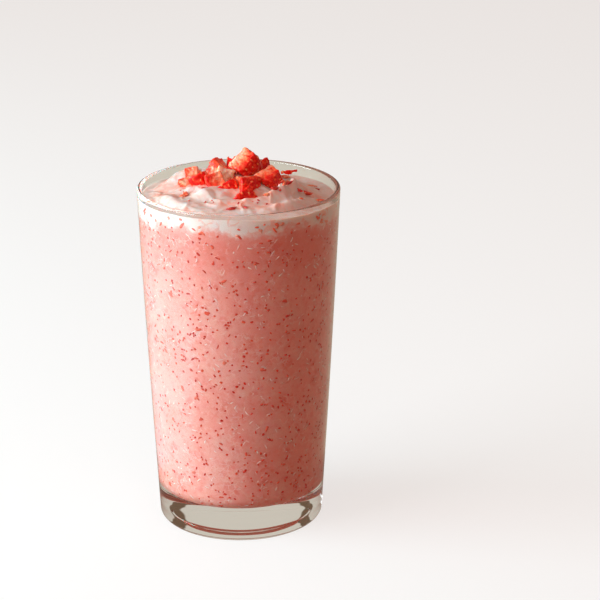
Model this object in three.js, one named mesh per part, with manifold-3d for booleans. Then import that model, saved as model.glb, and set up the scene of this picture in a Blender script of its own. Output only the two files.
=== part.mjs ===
// A strawberry frappe: a straight-sided tumbler, the pink drink in it, a layer of
// whipped cream on the drink, and chopped strawberry on the cream.
// Millimetres, +Z up. The origin is the middle of the foot, and the front is towards -Y.

import * as THREE from 'three';
import { ConvexGeometry } from 'three/addons/geometries/ConvexGeometry.js';
import { mergeVertices } from 'three/addons/utils/BufferGeometryUtils.js';
import Module from 'manifold-3d';

const wasm = await Module();
wasm.setup();

// Glass: driving sizes
const HEIGHT = 138;
const RIM_RADIUS = 40;
const FOOT_RADIUS = 33;
const WALL = 1.9;
const WALL_BULGE = 0.3;
const HEEL_RADIUS = 2.5;
const PUNT_RADIUS = 18;
const PUNT_DEPTH = 0.5;
const FLOOR = 13.3;
const INNER_FILLET = 6;
const SIDES = 72;

// Contents: heights of cream are measured from the rim, upwards
const GAP = 0.3;
const MOUND_TOP = 5.6;
const MOUND_FOOT = 38;
const MOUND_POWER = 1.7;
const BACK_TROUGH = { angle: 65, depth: 9.5, sharpness: 4 };
const MIX_LINE = -8.6;
const MIX_FLAT_RADIUS = 20;
const CREAM_STEPS = 20;

// Waves round the glass from its front, as height, number of waves and phase in degrees
const EDGE_WAVES = [[1.1, 1, 0], [0.3, 1, 90], [0.12, 5, 60], [0.08, 9, 0]];
const EDGE_LEVEL = -3.5;
const MIX_WAVES = [[0.9, 2, 20], [0.8, 5, 150], [0.7, 9, 40]];

// Soft lumps on the mound, and hollows where the rise is below zero: place, rise, and
// half width across and along
const LUMPS = [
  { x: 4, y: -19, rise: -1.8, wide: 7, deep: 3.2 },
  { x: 15, y: -12, rise: -1.4, wide: 4, deep: 4 },
  { x: -22, y: 7, rise: 3.2, wide: 6.5, deep: 6 },
  { x: 20, y: 25.5, rise: 2.2, wide: 5, deep: 4.5 },
  { x: -13, y: -17, rise: 1.2, wide: 6, deep: 4 },
  { x: 20, y: 3, rise: 1.4, wide: 5, deep: 6 },
  { x: 5, y: 20, rise: 1.6, wide: 8, deep: 5 },
  { x: -14, y: 18, rise: 1.5, wide: 6, deep: 6 },
  { x: 16.5, y: -17, rise: 1.2, wide: 2.2, deep: 2.6 },
  { x: 21.5, y: -12, rise: 1.4, wide: 2.6, deep: 2.6 },
];

// Folds that the spoon left, each an arc round the middle: its radius, the angles that
// it runs between, the angle where it is highest, its rise, and its inner and outer widths
const FOLDS = [
  { radius: 24, from: -108, to: 8, peak: -31, rise: 4.0, inner: 1.6, outer: 3.4 },
  { radius: 31, from: -88, to: -12, peak: -50, rise: 2.3, inner: 2.2, outer: 2.4 },
  { radius: 31.5, from: -172, to: -100, peak: -146, rise: 2.2, inner: 3.0, outer: 2.4 },
  { radius: 27, from: 95, to: 205, peak: 150, rise: 1.3, inner: 2.8, outer: 3.4 },
];

// A whole strawberry, from which the pieces are cut. Its tip is at the origin
const BERRY_LENGTH = 28;
const BERRY_RADIUS = 12;
const BERRY_SIDES = 20;
const BERRY_STEPS = 9;
const TIP_POWER = 1.61;

// Pieces of strawberry. from and to are the corners of the block cut out of the whole
// berry, turn is the block's turn about X, Y and Z in degrees, and at is where its
// middle comes to lie, with its height from the rim
const PIECES = [
  { name: 'strawberry_peak', from: [3.5, -4.6, 11], to: [13, 4.8, 20.5], turn: [42, 6, -54], at: [4.3, -1.5, 8.2] },
  { name: 'strawberry_dome', from: [6, -3.4, 11.5], to: [13, 3.4, 18.5], turn: [20, -40, 140], at: [-9.5, 5, 6.1] },
  { name: 'strawberry_pale', from: [4.5, -3.4, 11.5], to: [11, 3.4, 18], turn: [30, 14, 196], at: [-9, -9.2, 3.9] },
  { name: 'strawberry_core', from: [1, -3.2, 12], to: [7, 3.2, 18.5], turn: [20, 24, 104], at: [-5.6, -5.4, 5.1] },
  { name: 'strawberry_left_far', from: [5, -3, 14], to: [10, 3, 18], turn: [30, 10, 170], at: [-17.9, 4.6, 3.4] },
  { name: 'strawberry_ring', from: [-3, -3, 0.3], to: [3, 3, 2.4], turn: [34, 8, -12], at: [-21, -4, 2] },
  { name: 'strawberry_left_near', from: [6.4, -3.6, 8.5], to: [13, 3.6, 16], turn: [30, -12, -104], at: [-14.6, -8.4, 3.3] },
  { name: 'strawberry_front', from: [5.5, -4, 11], to: [13, 4, 20], turn: [84, -5, -64], at: [4.8, -13.5, 3.2] },
  { name: 'strawberry_front_low', from: [6.5, -5, 7.5], to: [13, 5, 14], turn: [40, -24, -94], at: [2.8, -21.6, 0.5] },
  { name: 'strawberry_arch', from: [6.5, -3.8, 9], to: [12, 3.8, 15], turn: [34, -20, -104], at: [-3.2, -15, 2.7] },
  { name: 'strawberry_right', from: [4, -4.2, 12], to: [13, 4.2, 20.5], turn: [110, 12, -52], at: [12.8, -6.4, 3.2] },
  { name: 'strawberry_right_far', from: [8, -2.6, 10], to: [13, 2.6, 15], turn: [20, -35, -60], at: [10.6, 6, 6.8] },
  { name: 'strawberry_strip', from: [9.5, -3.3, 10], to: [13, 3.3, 12.8], turn: [10, -35, -98], at: [19.6, 26, -2.1] },
  { name: 'strawberry_between', from: [7.5, -2.5, 10], to: [13, 2.5, 15], turn: [10, -40, 200], at: [-4.2, 4, 7.4] },
  { name: 'strawberry_back', from: [5, -5, 12], to: [13, 5, 20], turn: [70, -20, 100], at: [1.5, 13, 4.2] },
  { name: 'strawberry_back_left', from: [6, -4, 9], to: [13, 4, 15], turn: [10, -30, 150], at: [-10, 15, 2.8] },
];

// Shreds and crumbs that lie on the cream: place, half sizes and turn about Z in degrees
const BITS = [
  { x: -20, y: -14, half: [0.9, 2.0, 0.8], turn: 10 },
  { x: 17.5, y: 0, half: [2.6, 0.8, 0.7], turn: -15 },
  { x: 21.5, y: -1.5, half: [1.5, 0.7, 0.6], turn: 10 },
  { x: 17.6, y: -16.4, half: [0.9, 1.6, 0.7], turn: 15 },
  { x: 25.5, y: -9, half: [2.8, 0.9, 0.7], turn: -40 },
  { x: 14.5, y: -19, half: [1.6, 0.8, 0.7], turn: 30 },
  { x: 11.4, y: -21.6, half: [1.0, 0.6, 0.6], turn: 10 },
  { x: -2, y: -29, half: [1.9, 0.8, 0.6], turn: 20 },
];

const radians = THREE.MathUtils.degToRad;

function outerRadius(z) {
  const share = THREE.MathUtils.clamp((z - HEEL_RADIUS) / (HEIGHT - HEEL_RADIUS), 0, 1);
  const straight = THREE.MathUtils.lerp(FOOT_RADIUS, RIM_RADIUS, share);
  return straight + WALL_BULGE * Math.sin(Math.PI * share);
}

function innerRadius(z) {
  return outerRadius(z) - WALL;
}

// Points on a circle from one angle to another, in degrees, in a radius-height section
function arc(x, y, radius, from, to, steps) {
  const points = [];
  for (let i = 0; i <= steps; i++) {
    const angle = radians(from + ((to - from) * i) / steps);
    points.push(new THREE.Vector2(x + radius * Math.cos(angle), y + radius * Math.sin(angle)));
  }
  return points;
}

// Points on the wall, inset from its outer face, at even heights between two ends
function wallPoints(low, high, steps, inset) {
  const points = [];
  for (let i = 1; i < steps; i++) {
    const z = low + ((high - low) * i) / steps;
    points.push(new THREE.Vector2(outerRadius(z) - inset, z));
  }
  return points;
}

// Geometry reduced to merged corners and real triangles
function bare(geometry) {
  geometry.deleteAttribute('normal');
  geometry.deleteAttribute('uv');
  const merged = mergeVertices(geometry, 1e-4);
  const index = merged.getIndex().array;
  const kept = [];
  for (let i = 0; i < index.length; i += 3) {
    const [a, b, c] = index.subarray(i, i + 3);
    if (a !== b && b !== c && c !== a) kept.push(a, b, c);
  }
  merged.setIndex(kept);
  return merged;
}

function solid(geometry) {
  const body = bare(geometry);
  return new wasm.Manifold(new wasm.Mesh({
    numProp: 3,
    vertProperties: Float32Array.from(body.getAttribute('position').array),
    triVerts: Uint32Array.from(body.getIndex().array),
  }));
}

// The largest body of a solid as geometry, so that a cut leaves no loose scraps
function largest(manifold) {
  const bodies = manifold.decompose();
  bodies.sort((a, b) => b.volume() - a.volume());
  const mesh = bodies[0].getMesh();
  const geometry = new THREE.BufferGeometry();
  geometry.setAttribute('position', new THREE.BufferAttribute(Float32Array.from(mesh.vertProperties), 3));
  geometry.setIndex(Array.from(mesh.triVerts));
  return geometry;
}

// A lathe turned so that its axis stands up
function standing(points, sides) {
  return bare(new THREE.LatheGeometry(points, sides).rotateX(Math.PI / 2));
}

// A round body whose section changes with the angle: section(angle) gives its points,
// from the middle of the underside out and back to the middle of the top
function roundBody(section) {
  const rings = [];
  for (let j = 0; j < SIDES; j++) rings.push(section((2 * Math.PI * j) / SIDES));
  const last = rings[0].length - 1;
  const positions = [0, 0, rings[0][0].y, 0, 0, rings[0][last].y];
  rings.forEach((ring, j) => {
    const angle = (2 * Math.PI * j) / SIDES;
    ring.slice(1, last).forEach((p) => positions.push(p.x * Math.cos(angle), p.x * Math.sin(angle), p.y));
  });
  const corner = (j, k) => {
    if (k === 0) return 0;
    if (k === last) return 1;
    return 2 + (j % SIDES) * (last - 1) + (k - 1);
  };
  const index = [];
  for (let j = 0; j < SIDES; j++) {
    for (let k = 0; k < last; k++) {
      if (k > 0) index.push(corner(j, k), corner(j + 1, k), corner(j + 1, k + 1));
      if (k < last - 1) index.push(corner(j, k), corner(j + 1, k + 1), corner(j, k + 1));
    }
  }
  const geometry = new THREE.BufferGeometry();
  geometry.setAttribute('position', new THREE.Float32BufferAttribute(positions, 3));
  geometry.setIndex(index);
  return geometry;
}

function makeGlass() {
  const heel = arc(FOOT_RADIUS - HEEL_RADIUS, HEEL_RADIUS, HEEL_RADIUS, -90, 0, 4);
  const bead = WALL / 2;
  const rimMiddle = outerRadius(HEIGHT - bead) - bead;
  const filletMiddle = innerRadius(FLOOR + INNER_FILLET) - INNER_FILLET;
  return standing([
    new THREE.Vector2(0, PUNT_DEPTH),
    new THREE.Vector2(PUNT_RADIUS - 1, PUNT_DEPTH),
    new THREE.Vector2(PUNT_RADIUS, 0),
    ...heel,
    ...wallPoints(HEEL_RADIUS, HEIGHT - bead, 5, 0),
    ...arc(rimMiddle, HEIGHT - bead, bead, 0, 180, 6),
    ...wallPoints(HEIGHT - bead, FLOOR + INNER_FILLET, 4, WALL),
    ...arc(filletMiddle, FLOOR + INNER_FILLET, INNER_FILLET, 0, -90, 5),
    new THREE.Vector2(0, FLOOR),
  ], SIDES);
}

function waves(list, angle) {
  return list.reduce((sum, [height, count, phase]) => (
    sum + height * Math.cos(count * (angle + Math.PI / 2) + radians(phase))), 0);
}

// Where the cream meets the glass, as a height from the rim
function creamEdge(angle) {
  return EDGE_LEVEL + waves(EDGE_WAVES, angle);
}

// The wavy level between drink and cream, which is flat away from the glass
function mixHeight(radius, angle) {
  const share = THREE.MathUtils.smoothstep(radius, MIX_FLAT_RADIUS, innerRadius(HEIGHT));
  return HEIGHT + MIX_LINE + share * waves(MIX_WAVES, angle);
}

// The angle between two directions, in degrees from -180 to 180
function turnBetween(from, to) {
  return ((((to - from) % 360) + 540) % 360) - 180;
}

function foldRise(fold, radius, angle) {
  const here = turnBetween(fold.peak, THREE.MathUtils.radToDeg(angle));
  const reach = here < 0 ? turnBetween(fold.peak, fold.from) : turnBetween(fold.peak, fold.to);
  const share = here / reach;
  if (share >= 1) return 0;
  const away = radius - fold.radius;
  const width = away < 0 ? fold.inner : fold.outer;
  return fold.rise * Math.cos((Math.PI / 2) * share) ** 2 * Math.exp(-((away / width) ** 2));
}

// Height of the cream's top face above the foot
function creamTop(radius, angle) {
  const x = radius * Math.cos(angle);
  const y = radius * Math.sin(angle);
  const edge = creamEdge(angle);
  const towards = Math.max(0, Math.cos(angle - radians(BACK_TROUGH.angle)));
  const foot = MOUND_FOOT - BACK_TROUGH.depth * towards ** BACK_TROUGH.sharpness;
  const reach = Math.min(1, radius / foot);
  const mound = (MOUND_TOP - edge) * (1 - reach ** 2) ** MOUND_POWER;
  let relief = 0;
  for (const lump of LUMPS) {
    relief += lump.rise * Math.exp(-(((x - lump.x) / lump.wide) ** 2) - (((y - lump.y) / lump.deep) ** 2));
  }
  for (const fold of FOLDS) relief += foldRise(fold, radius, angle);
  const calm = 1 - THREE.MathUtils.smoothstep(radius, 33, 37);
  return HEIGHT + edge + mound + relief * calm;
}

function makeDrink() {
  const inset = WALL + GAP;
  const filletTop = FLOOR + INNER_FILLET;
  const filletMiddle = innerRadius(filletTop) - INNER_FILLET;
  const bottom = arc(filletMiddle, filletTop, INNER_FILLET - GAP, -90, 0, 5);
  return roundBody((angle) => {
    const lineHeight = mixHeight(RIM_RADIUS, angle) - GAP / 2;
    const top = mixRadii(lineHeight).map((radius) => (
      new THREE.Vector2(radius, mixHeight(radius, angle) - GAP / 2)));
    const sides = wallPoints(filletTop, lineHeight, 5, inset);
    return [new THREE.Vector2(0, FLOOR + GAP), ...bottom, ...sides, ...top.reverse()];
  });
}

// Radii of the rings on the face between drink and cream, from the middle to the glass
function mixRadii(lineHeight) {
  const wall = innerRadius(lineHeight) - GAP;
  return [0, MIX_FLAT_RADIUS, (MIX_FLAT_RADIUS + wall) / 2, wall];
}

function makeCreamBody() {
  return roundBody((angle) => {
    const lineHeight = mixHeight(RIM_RADIUS, angle) + GAP / 2;
    const underside = mixRadii(lineHeight).map((radius) => (
      new THREE.Vector2(radius, mixHeight(radius, angle) + GAP / 2)));
    const edgeHeight = HEIGHT + creamEdge(angle);
    const wall = innerRadius(edgeHeight) - GAP;
    const top = [];
    for (let i = CREAM_STEPS; i >= 0; i--) {
      const radius = (wall * i) / CREAM_STEPS;
      top.push(new THREE.Vector2(radius, creamTop(radius, angle)));
    }
    return [...underside, ...top];
  });
}

function berryRadius(z) {
  const share = THREE.MathUtils.clamp(z / BERRY_LENGTH, 0, 1);
  return BERRY_RADIUS * Math.sqrt(Math.max(0, Math.sin(Math.PI * share ** TIP_POWER)));
}

function makeBerry() {
  const points = [];
  for (let i = 0; i <= BERRY_STEPS; i++) {
    const z = (BERRY_LENGTH * i) / BERRY_STEPS;
    points.push(new THREE.Vector2(i === BERRY_STEPS ? 0 : berryRadius(z), z));
  }
  return solid(standing(points, BERRY_SIDES));
}

// A piece cut out of the whole berry, lying where it lies on the cream
function cutPiece(berry, piece) {
  const from = new THREE.Vector3(...piece.from);
  const to = new THREE.Vector3(...piece.to);
  const size = to.clone().sub(from);
  const middle = from.clone().add(to).multiplyScalar(0.5);
  const block = new THREE.BoxGeometry(size.x, size.y, size.z).translate(middle.x, middle.y, middle.z);
  const cut = largest(berry.intersect(solid(block)));
  const place = new THREE.Object3D();
  place.rotation.set(...piece.turn.map(radians), 'ZYX');
  place.position.set(piece.at[0], piece.at[1], HEIGHT + piece.at[2]);
  place.updateMatrix();
  return cut.translate(-middle.x, -middle.y, -middle.z).applyMatrix4(place.matrix);
}

// The shape grown by the gap on every side, to cut a neighbour clear of it
function grown(geometry) {
  const ball = new THREE.IcosahedronGeometry(GAP * 1.15, 0).getAttribute('position');
  const at = geometry.getAttribute('position');
  const points = [];
  for (let i = 0; i < at.count; i++) {
    const corner = new THREE.Vector3().fromBufferAttribute(at, i);
    for (let k = 0; k < ball.count; k++) {
      points.push(new THREE.Vector3().fromBufferAttribute(ball, k).add(corner));
    }
  }
  return solid(new ConvexGeometry(points));
}

// A shred or crumb, lying half sunk in the cream
function makeBit(bit) {
  const radius = Math.hypot(bit.x, bit.y);
  const height = creamTop(radius, Math.atan2(bit.y, bit.x));
  const shape = new THREE.IcosahedronGeometry(1, 0).scale(...bit.half);
  return solid(shape.rotateZ(radians(bit.turn)).translate(bit.x, bit.y, height + bit.half[2] * 0.2));
}

function look(color, roughness, extra = {}) {
  return new THREE.MeshStandardMaterial({ color, roughness, metalness: 0, ...extra });
}

function named(name, geometry, material) {
  const mesh = new THREE.Mesh(geometry, material);
  mesh.name = name;
  return mesh;
}

const frappe = new THREE.Group();
frappe.name = 'frappe';
frappe.add(named('glass', makeGlass(), look(0xe6e4dc, 0.03, { transparent: true, opacity: 0.3 })));
frappe.add(named('drink', makeDrink(), look(0xdb8a7c, 0.35)));

const berry = makeBerry();
let cream = solid(makeCreamBody());
const clearances = [];
for (const piece of PIECES) {
  const whole = cutPiece(berry, piece);
  const clearance = grown(whole);
  let flesh = solid(whole);
  for (const earlier of clearances) flesh = flesh.subtract(earlier);
  clearances.push(clearance);
  cream = cream.subtract(clearance);
  frappe.add(named(piece.name, largest(flesh), look(0xd8321c, 0.3)));
}
for (const bit of BITS) {
  let crumb = makeBit(bit);
  for (const clearance of clearances) crumb = crumb.subtract(clearance);
  cream = cream.add(crumb);
}
frappe.add(named('cream', largest(cream), look(0xf3e6dd, 0.5)));

export default frappe;
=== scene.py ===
"""A strawberry frappe in its glass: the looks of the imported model.

Blender's lengths are metres. The tables and the shape functions below work in millimetres, in the
model's own frame: the glass stands on z = 0 round the Z axis, and the side that is seen faces -Y.
"""

import math
import random

import bmesh
import bpy
import numpy as np
from mathutils import Euler, Matrix, Vector, noise
from mathutils.bvhtree import BVHTree


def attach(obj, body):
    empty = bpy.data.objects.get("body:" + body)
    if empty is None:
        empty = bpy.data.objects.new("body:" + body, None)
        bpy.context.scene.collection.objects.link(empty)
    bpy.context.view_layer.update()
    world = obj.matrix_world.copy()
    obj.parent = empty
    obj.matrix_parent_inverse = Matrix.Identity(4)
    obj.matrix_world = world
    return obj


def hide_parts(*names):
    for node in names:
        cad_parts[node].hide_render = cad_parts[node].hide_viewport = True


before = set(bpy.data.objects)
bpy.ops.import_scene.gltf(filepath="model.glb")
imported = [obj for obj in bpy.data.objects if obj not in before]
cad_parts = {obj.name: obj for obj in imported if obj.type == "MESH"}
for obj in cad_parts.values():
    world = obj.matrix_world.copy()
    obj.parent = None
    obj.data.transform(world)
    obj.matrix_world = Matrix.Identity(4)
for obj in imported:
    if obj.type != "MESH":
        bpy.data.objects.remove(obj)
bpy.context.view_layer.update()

MM = 0.001
SHARP_ANGLE = 50

# The glass
HEIGHT = 138
RIM_RADIUS = 40
FOOT_RADIUS = 33
WALL = 1.9
WALL_BULGE = 0.3
HEEL_RADIUS = 2.5
PUNT_RADIUS = 18
PUNT_DEPTH = 0.5
PUNT_SLOPE = 0.6
FLOOR = 13.3
INNER_FILLET = 6
GLASS_SIDES = 256
# Points of the glass's section: radii of those on its flat parts, and how many are on its curves
# and on each side of its wall
PUNT_RADII = (8, 14)
FOOT_FLAT_RADIUS = 22
FLOOR_RADII = (20, 12, 5)
PUNT_STEPS = 9
CURVE_STEPS = 14
WALL_STEPS = 60

# The drink and the cream
INTO_WALL = 0.05
MOUND_TOP = 5.6
MOUND_FOOT = 38
MOUND_POWER = 1.7
BACK_TROUGH = {"angle": 65, "depth": 9.5, "sharpness": 4}
MIX_LINE = -8.6
MIX_FLAT_RADIUS = 20
EDGE_LEVEL = -3.5
EDGE_WAVES = [(1.1, 1, 0), (0.3, 1, 90), (0.12, 5, 60), (0.08, 9, 0)]
MIX_WAVES = [(0.9, 2, 20), (0.8, 5, 150), (0.7, 9, 40)]
# Radii between which the cream's relief and its fine detail fade out towards the wall
RELIEF_FADE = (33, 37)
DETAIL_FADE = (33.5, 37.6)
# Broad lumps and hollows of the cream: middle, width and depth, and rise
LUMPS = [
    ((4, -19, 7, 3.2), -1.8), ((15, -12, 4, 4), -1.4), ((-22, 7, 6.5, 6), 3.2),
    ((20, 25.5, 5, 4.5), 2.2), ((-13, -17, 6, 4), 1.2), ((20, 3, 5, 6), 1.4),
    ((5, 20, 8, 5), 1.6), ((-14, 18, 6, 6), 1.5), ((16.5, -17, 2.2, 2.6), 1.2),
    ((21.5, -12, 2.6, 2.6), 1.4),
]
# Folds of the cream: radius, the turns in degrees where it starts, ends and is highest, its rise,
# and its width inside and outside its radius
FOLDS = [
    (24, -108, 8, -31, 4.0, 1.6, 3.4),
    (31, -88, -12, -50, 2.3, 2.2, 2.4),
    (31.5, -172, -100, -146, 2.2, 3.0, 2.4),
    (27, 95, 205, 150, 1.3, 2.8, 3.4),
]

# The whole berry that the chopped pieces are cut from
BERRY_LENGTH = 28
BERRY_RADIUS = 12
TIP_POWER = 1.61
# The pieces: node, the block's lowest and highest corner in the berry, its turn, and its place
PIECES = [
    ("strawberry_peak", (3.5, -4.6, 11), (13, 4.8, 20.5), (42, 6, -54), (4.3, -1.5, 8.2)),
    ("strawberry_dome", (6, -3.4, 11.5), (13, 3.4, 18.5), (20, -40, 140), (-9.5, 5, 6.1)),
    ("strawberry_pale", (4.5, -3.4, 11.5), (11, 3.4, 18), (30, 14, 196), (-9, -9.2, 3.9)),
    ("strawberry_core", (1, -3.2, 12), (7, 3.2, 18.5), (20, 24, 104), (-5.6, -5.4, 5.1)),
    ("strawberry_left_far", (5, -3, 14), (10, 3, 18), (30, 10, 170), (-17.9, 4.6, 3.4)),
    ("strawberry_ring", (-3, -3, 0.3), (3, 3, 2.4), (34, 8, -12), (-21, -4, 2)),
    ("strawberry_left_near", (6.4, -3.6, 8.5), (13, 3.6, 16), (30, -12, -104), (-14.6, -8.4, 3.3)),
    ("strawberry_front", (5.5, -4, 11), (13, 4, 20), (84, -5, -64), (4.8, -13.5, 3.2)),
    ("strawberry_front_low", (6.5, -5, 7.5), (13, 5, 14), (40, -24, -94), (2.8, -21.6, 0.5)),
    ("strawberry_arch", (6.5, -3.8, 9), (12, 3.8, 15), (34, -20, -104), (-3.2, -15, 2.7)),
    ("strawberry_right", (4, -4.2, 12), (13, 4.2, 20.5), (110, 12, -52), (12.8, -6.4, 3.2)),
    ("strawberry_right_far", (8, -2.6, 10), (13, 2.6, 15), (20, -35, -60), (10.6, 6, 6.8)),
    ("strawberry_strip", (9.5, -3.3, 10), (13, 3.3, 12.8), (10, -35, -98), (19.6, 26, -2.1)),
    ("strawberry_between", (7.5, -2.5, 10), (13, 2.5, 15), (10, -40, 200), (-4.2, 4, 7.4)),
    ("strawberry_back", (5, -5, 12), (13, 5, 20), (70, -20, 100), (1.5, 13, 4.2)),
    ("strawberry_back_left", (6, -4, 9), (13, 4, 15), (10, -30, 150), (-10, 15, 2.8)),
]

# The camera stands where the photograph was taken from
CAMERA_PLACE = (24.08, -900.7, 403.0)
CAMERA_PITCH = 19.128
CAMERA_LENS = 143.5
CAMERA_SENSOR = 36


# Shape functions, the same as in the part's source

def smoothstep(x, low, high):
    """0 below low, 1 above high, and a smooth rise between them."""
    share = np.clip((x - low) / (high - low), 0, 1)
    return share * share * (3 - 2 * share)


def outer_radius(z):
    """Radius of the glass's outside."""
    share = np.clip((z - HEEL_RADIUS) / (HEIGHT - HEEL_RADIUS), 0, 1)
    return FOOT_RADIUS + (RIM_RADIUS - FOOT_RADIUS) * share + WALL_BULGE * np.sin(np.pi * share)


def inner_radius(z):
    """Radius of the glass's inside."""
    return outer_radius(z) - WALL


def waves(terms, angle):
    """Sum of waves round the glass: height, count, and phase in degrees from the front."""
    total = 0
    for height, count, phase in terms:
        total = total + height * np.cos(count * (angle + math.pi / 2) + math.radians(phase))
    return total


def hump(x, y, spot):
    """1 at the middle of a spot, which is x, y, width and depth, and less away from it."""
    cx, cy, wide, deep = spot
    return np.exp(-(((x - cx) / wide) ** 2 + ((y - cy) / deep) ** 2))


def cream_edge(angle):
    """Level of the cream where it meets the glass, from the rim."""
    return EDGE_LEVEL + waves(EDGE_WAVES, angle)


def mix_height(r, angle):
    """Level at which the drink turns into cream."""
    near_wall = smoothstep(r, MIX_FLAT_RADIUS, inner_radius(HEIGHT))
    return HEIGHT + MIX_LINE + near_wall * waves(MIX_WAVES, angle)


def signed_degrees(to, start):
    """The turn in degrees from start to to, between -180 and 180."""
    return (to - start + 180) % 360 - 180


def fold_rise(fold, r, angle):
    """Height that one fold of the cream adds."""
    radius, start, end, peak, rise, inner, outer = fold
    here = signed_degrees(np.degrees(angle), peak)
    back = signed_degrees(start, peak)
    ahead = signed_degrees(end, peak)
    share = np.clip(np.where(here < 0, here / back, here / ahead), 0, 1)
    width = np.where(r < radius, inner, outer)
    across = np.exp(-(((r - radius) / width) ** 2))
    return rise * np.cos(np.pi / 2 * share) ** 2 * across


def cream_top(r, angle):
    """Height of the cream's surface."""
    towards = np.maximum(0, np.cos(angle - math.radians(BACK_TROUGH["angle"])))
    foot = MOUND_FOOT - BACK_TROUGH["depth"] * towards ** BACK_TROUGH["sharpness"]
    reach = np.minimum(1, r / foot)
    edge = cream_edge(angle)
    mound = (MOUND_TOP - edge) * (1 - reach**2) ** MOUND_POWER
    x, y = r * np.cos(angle), r * np.sin(angle)
    relief = 0
    for spot, rise in LUMPS:
        relief = relief + rise * hump(x, y, spot)
    for fold in FOLDS:
        relief = relief + fold_rise(fold, r, angle)
    return HEIGHT + edge + mound + relief * (1 - smoothstep(r, *RELIEF_FADE))


def berry_radius(z):
    """Radius of the whole berry at a height z above its leaves."""
    share = np.clip(z / BERRY_LENGTH, 0, 1)
    return BERRY_RADIUS * np.sqrt(np.maximum(1e-6, np.sin(np.pi * share**TIP_POWER)))


def arc(centre, radius, start, end, steps):
    """Points (r, z) on an arc, from start to end in degrees."""
    turns = [math.radians(start + (end - start) * k / steps) for k in range(steps + 1)]
    return [(centre[0] + radius * math.cos(t), centre[1] + radius * math.sin(t)) for t in turns]


# Mesh builders

def even_angles(sides):
    """The angles of a ring's points."""
    return np.arange(sides) * 2 * math.pi / sides


def ring(r, angles, z):
    """The points of a ring, whose radius and height may change with the angle."""
    height = np.broadcast_to(z, angles.shape)
    return np.stack([r * np.cos(angles), r * np.sin(angles), height], 1)


def ring_mesh(rows, first, last):
    """Vertices and faces of a closed body made of rings of points, with one point at each end."""
    count, sides = rows.shape[0], rows.shape[1]
    verts = np.concatenate([rows.reshape(-1, 3), [first], [last]])
    faces = []
    for i in range(count - 1):
        low, high = i * sides, (i + 1) * sides
        for j in range(sides):
            k = (j + 1) % sides
            faces.append((low + j, low + k, high + k, high + j))
    start, end, top = count * sides, count * sides + 1, (count - 1) * sides
    for j in range(sides):
        k = (j + 1) % sides
        faces.append((start, k, j))
        faces.append((end, top + j, top + k))
    return verts, faces


def turned_mesh(profile, sides):
    """Vertices and faces of a profile (r, z) turned round Z, whose two ends are on the axis."""
    angles = even_angles(sides)
    rows = [ring(r, angles, z) for r, z in profile[1:-1]]
    return ring_mesh(np.array(rows), (0, 0, profile[0][1]), (0, 0, profile[-1][1]))


def add_piece(name, verts, faces, material, replaces=()):
    """A smooth-shaded piece from vertices in millimetres, which rides on the root body."""
    mesh = bpy.data.meshes.new(name)
    mesh.from_pydata((np.asarray(verts) * MM).tolist(), [], faces)
    return add_object(name, mesh, material, replaces)


def add_object(name, mesh, material, replaces=()):
    """A piece from a mesh, shaded smooth but for its sharp edges, which rides on the root body."""
    mesh.polygons.foreach_set("use_smooth", [True] * len(mesh.polygons))
    mesh.set_sharp_from_angle(angle=math.radians(SHARP_ANGLE))
    mesh.materials.clear()
    mesh.materials.append(material)
    piece = bpy.data.objects.new(name, mesh)
    bpy.context.scene.collection.objects.link(piece)
    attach(piece, "root")
    if replaces:
        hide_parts(*replaces)
    return piece


def add_values(mesh, name, values):
    """Stores one number, or one vector, for each vertex."""
    values = np.asarray(values, float)
    kind, field = ("FLOAT", "value") if values.ndim == 1 else ("FLOAT_VECTOR", "vector")
    layer = mesh.attributes.new(name, kind, "POINT")
    layer.data.foreach_set(field, values.ravel())


NOISE_OCTAVES = 2


def rough(points, size, seed):
    """Smooth random numbers round 0 for points in millimetres, with features of the given size."""
    shift = Vector((seed * 17.3, seed * 5.1, seed * 9.7))
    places = [Vector(p) / size + shift for p in points]
    return np.array([noise.fractal(place, 1.0, 2.0, NOISE_OCTAVES) for place in places])


def blob_template(subdivisions):
    """Vertices and triangles of a ball with a radius of 1."""
    edit = bmesh.new()
    bmesh.ops.create_icosphere(edit, subdivisions=subdivisions, radius=1)
    verts = np.array([tuple(v.co) for v in edit.verts])
    faces = np.array([[v.index for v in f.verts] for f in edit.faces])
    edit.free()
    return verts, faces


# Unevenness of the blobs: the grain of the noise over the ball, the noise's step from one blob to
# the next, and the square of the place along a bent blob where the bend leaves it level
BLOB_GRAIN = 1.4
BLOB_STEP = (3.7, 1.3)
BEND_LEVEL = 0.4


def add_blobs(name, blobs, material, subdivisions=2, wobble=0.25):
    """One piece of many uneven blobs. A blob is its place, three scaled axes, a bend and a tone."""
    ball, triangles = blob_template(subdivisions)
    verts, faces, tones = [], [], []
    for number, (place, axes, bend, tone) in enumerate(blobs):
        shift = Vector((number * BLOB_STEP[0], number * BLOB_STEP[1], 0))
        uneven = np.array([noise.noise(Vector(v) * BLOB_GRAIN + shift) for v in ball])
        shape = ball * (1 + 2 * wobble * uneven)[:, None]
        shape[:, 1] += bend * (shape[:, 0] ** 2 - BEND_LEVEL)
        verts.append(shape @ np.array(axes) + np.array(place))
        faces.append(triangles + number * len(ball))
        tones.append(np.full(len(ball), tone))
    corners = np.concatenate(faces).tolist()
    piece = add_piece(name, np.concatenate(verts), corners, material)
    add_values(piece.data, "tone", np.concatenate(tones))
    return piece


# Material helpers

def new_tree(name):
    """A new material and its empty node tree."""
    material = bpy.data.materials.new(name)
    material.use_nodes = True
    material.node_tree.nodes.clear()
    return material, material.node_tree


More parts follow.
